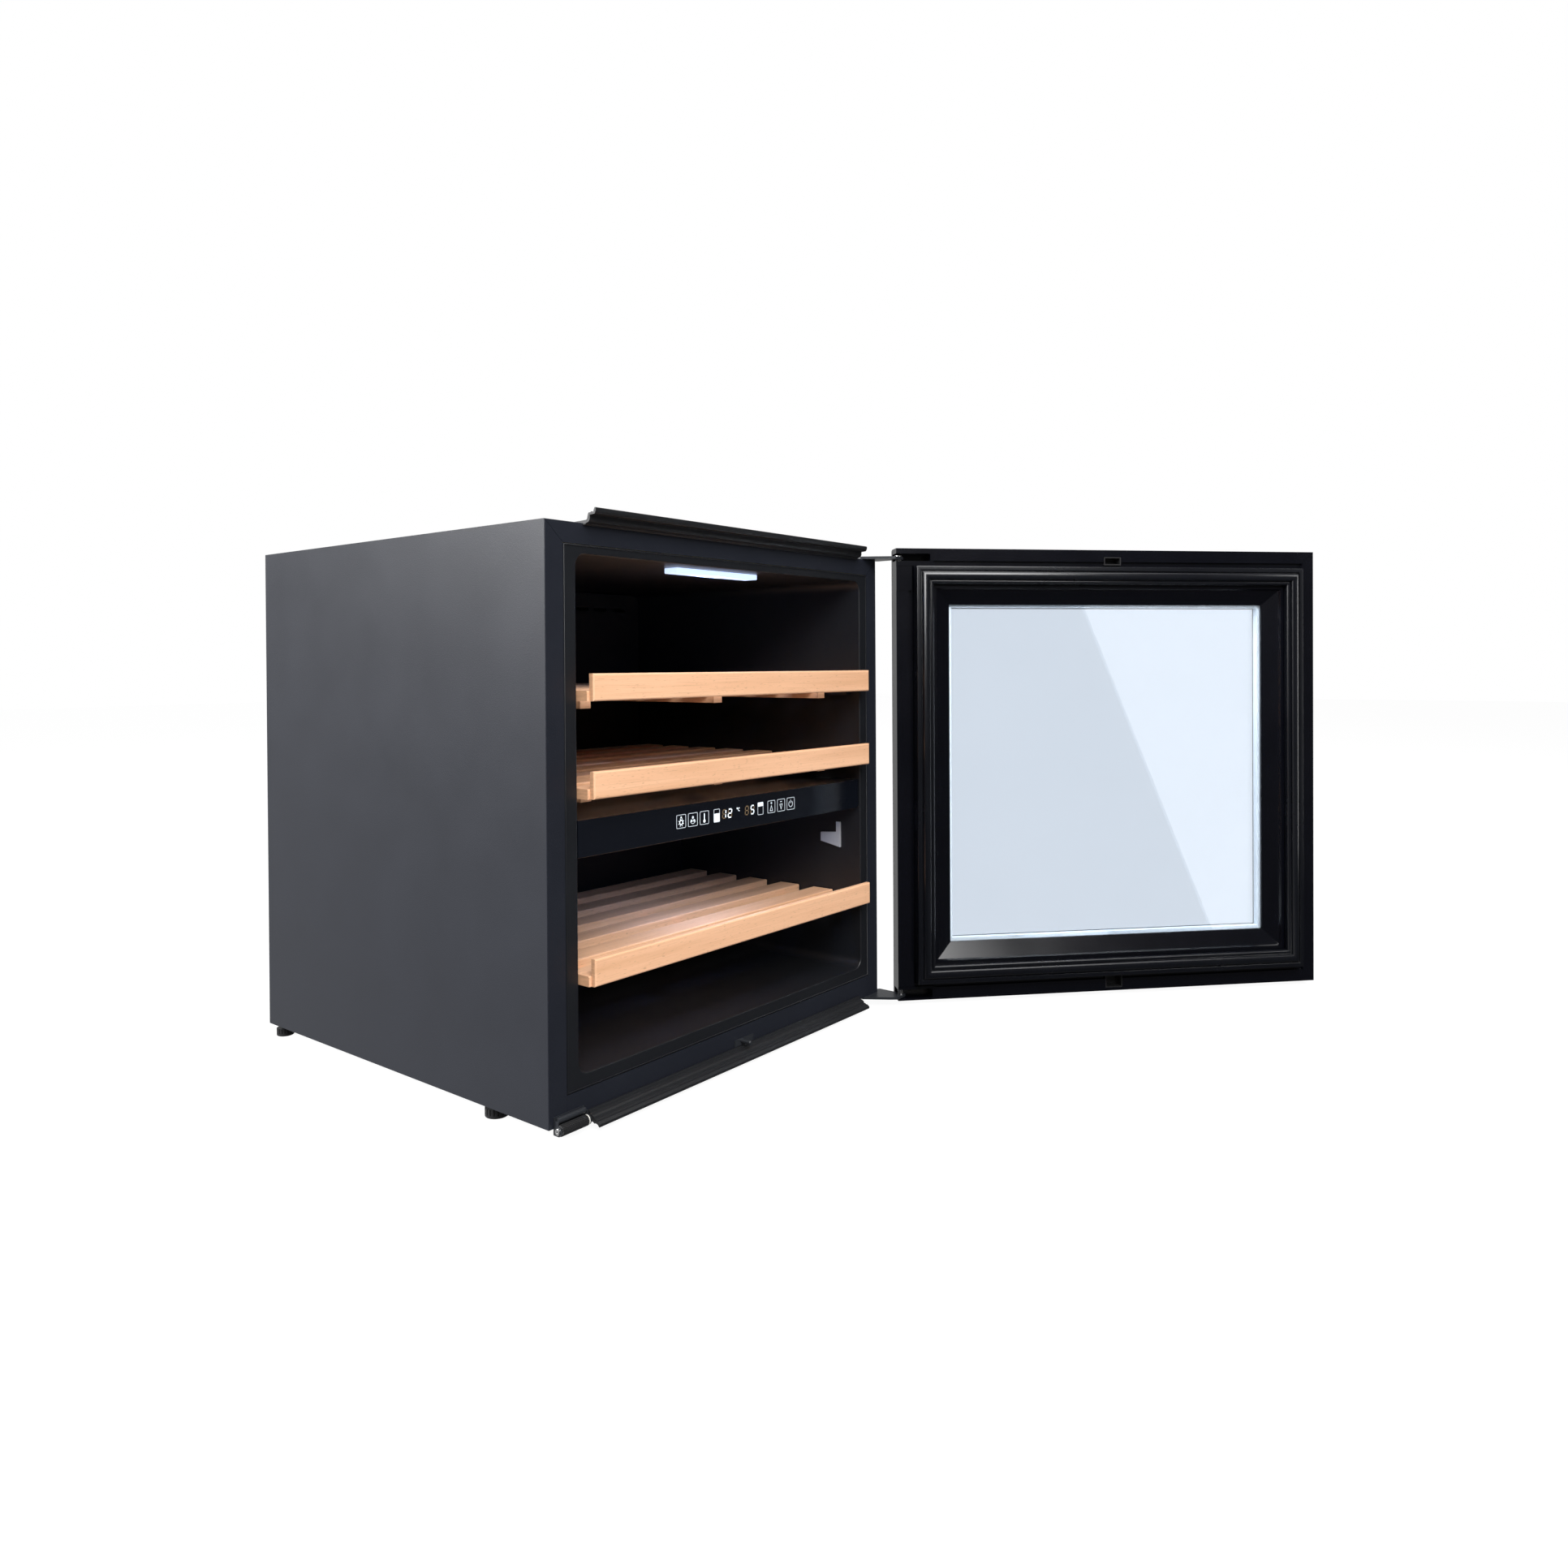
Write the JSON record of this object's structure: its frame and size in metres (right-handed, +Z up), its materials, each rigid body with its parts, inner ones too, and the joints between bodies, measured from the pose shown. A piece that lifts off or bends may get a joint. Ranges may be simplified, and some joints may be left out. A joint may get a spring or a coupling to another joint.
{
  "type": "built-in wine cooler",
  "caption": "Built-in dual-zone wine cooler: steel case, glazed swing door, sliding wooden shelves, touch control divider, fans and compressor.",
  "frame": {"origin": "on the floor, under the middle of the front flange", "axes": "+X towards the hinge side, +Y to the back, +Z up; the open door lies towards +X and -Y"},
  "size_m": [1.0003, 0.9616, 0.5992],
  "materials": {
    "case_paint": "satin",
    "galvanised_steel": "satin",
    "rear_cover_paint": "matte",
    "liner_plastic": "satin",
    "duct_plastic": "satin",
    "foam": "matte",
    "divider_plastic": "satin",
    "panel_glass": "gloss",
    "circuit_board": "satin",
    "light_lens": "satin",
    "grey_plastic": "satin",
    "black_plastic": "satin",
    "coil_aluminium": "satin",
    "compressor_black": "satin",
    "copper_pipe": "satin",
    "tray_plastic": "satin",
    "trim_vinyl": "satin",
    "hinge_paint": "satin",
    "pin_steel": "polished",
    "screw_steel": "satin",
    "door_glass": "gloss",
    "spacer_aluminium": "satin",
    "door_black": "gloss",
    "gasket_rubber": "satin",
    "bush_nylon": "satin",
    "beech": "satin"
  },
  "bodies": {
    "cabinet": {"back_panel": "galvanised_steel", "base_panel": "galvanised_steel", "bottom_front_rail": "case_paint", "bottom_trim_strip": "trim_vinyl", "compressor": "compressor_black", "compressor_tray": "galvanised_steel", "condenser_coil": "coil_aluminium", "condenser_fan_frame": "black_plastic", "control_display_board": "circuit_board", "control_panel_glass": "panel_glass", "drip_tray": "tray_plastic", "evaporator_coils": "coil_aluminium", "evaporator_fan_frames": "black_plastic", "foam_insulation": "foam", "hinge_pins": "pin_steel", "hinge_plates": "hinge_paint", "hinge_screws": "screw_steel", "inner_liner": "liner_plastic", "latch_strike": "hinge_paint", "led_light_bars": "light_lens", "left_side_panel": "case_paint", "lower_duct_cover": "duct_plastic", "mains_inlet_gland": "black_plastic", "power_board_box": "grey_plastic", "rear_service_cover": "rear_cover_paint", "refrigerant_pipes": "copper_pipe", "right_side_panel": "case_paint", "roller_bracket": "hinge_paint", "sensor_bracket": "grey_plastic", "shelf_runners": "liner_plastic", "top_panel": "case_paint", "top_trim_strip": "trim_vinyl", "upper_duct_cover": "duct_plastic", "zone_divider": "divider_plastic"},
    "door": {"door_outer_glass": "door_glass", "door_inner_glass": "door_glass", "glass_spacer": "spacer_aluminium", "door_frame_profiles": "door_black", "door_inner_bezel": "door_black", "door_gasket": "gasket_rubber", "door_hinge_caps": "door_black", "hinge_bushes": "bush_nylon", "latch_receptacles": "black_plastic"},
    "upper_shelf": {"upper_shelf_fascia": "beech", "upper_shelf_slats": "beech", "upper_shelf_stretchers": "beech"},
    "middle_shelf": {"middle_shelf_fascia": "beech", "middle_shelf_slats": "beech", "middle_shelf_stretchers": "beech"},
    "lower_shelf": {"lower_shelf_fascia": "beech", "lower_shelf_slats": "beech", "lower_shelf_stretchers": "beech"},
    "upper_fan": {"upper_fan_rotor": "black_plastic"},
    "lower_fan": {"lower_fan_rotor": "black_plastic"},
    "machine_fan": {"condenser_fan_rotor": "black_plastic"},
    "support_roller": {"door_roller": "black_plastic"},
    "front_left_foot_body": {"front_left_foot": "black_plastic"},
    "front_right_foot_body": {"front_right_foot": "black_plastic"},
    "rear_left_foot_body": {"rear_left_foot": "black_plastic"},
    "rear_right_foot_body": {"rear_right_foot": "black_plastic"}
  },
  "joints": [
    {"name": "door_hinge", "type": "hinge", "parent": "cabinet", "child": "door", "pos_m": [0.289, -0.0293, 0.3], "axis": [0, 0, 1], "range_deg": [-136.4, 1.6]},
    {"name": "upper_shelf_slide", "type": "slide", "parent": "cabinet", "child": "upper_shelf", "axis": [0, -1, 0], "range_m": [-0.016, 0.25]},
    {"name": "middle_shelf_slide", "type": "slide", "parent": "cabinet", "child": "middle_shelf", "axis": [0, -1, 0], "range_m": [-0.016, 0.25]},
    {"name": "lower_shelf_slide", "type": "slide", "parent": "cabinet", "child": "lower_shelf", "axis": [0, -1, 0], "range_m": [-0.016, 0.25]},
    {"name": "upper_fan_spin", "type": "hinge", "parent": "cabinet", "child": "upper_fan", "pos_m": [-0.13, 0.42, 0.43], "axis": [0, 1, 0], "continuous": true},
    {"name": "lower_fan_spin", "type": "hinge", "parent": "cabinet", "child": "lower_fan", "pos_m": [-0.13, 0.33, 0.16], "axis": [0, 1, 0], "continuous": true},
    {"name": "machine_fan_spin", "type": "hinge", "parent": "cabinet", "child": "machine_fan", "pos_m": [0.08, 0.446, 0.09], "axis": [1, 0, 0], "continuous": true},
    {"name": "support_roller_spin", "type": "hinge", "parent": "cabinet", "child": "support_roller", "pos_m": [-0.254, -0.0066, 0.013], "axis": [1, 0, 0], "continuous": true},
    {"name": "front_left_foot_turn", "type": "hinge", "parent": "cabinet", "child": "front_left_foot_body", "pos_m": [-0.262, 0.098, 0.015], "axis": [0, 0, 1], "continuous": true},
    {"name": "front_right_foot_turn", "type": "hinge", "parent": "cabinet", "child": "front_right_foot_body", "pos_m": [0.262, 0.098, 0.015], "axis": [0, 0, 1], "continuous": true},
    {"name": "rear_left_foot_turn", "type": "hinge", "parent": "cabinet", "child": "rear_left_foot_body", "pos_m": [-0.266, 0.505, 0.015], "axis": [0, 0, 1], "continuous": true},
    {"name": "rear_right_foot_turn", "type": "hinge", "parent": "cabinet", "child": "rear_right_foot_body", "pos_m": [0.266, 0.505, 0.015], "axis": [0, 0, 1], "continuous": true}
  ]
}
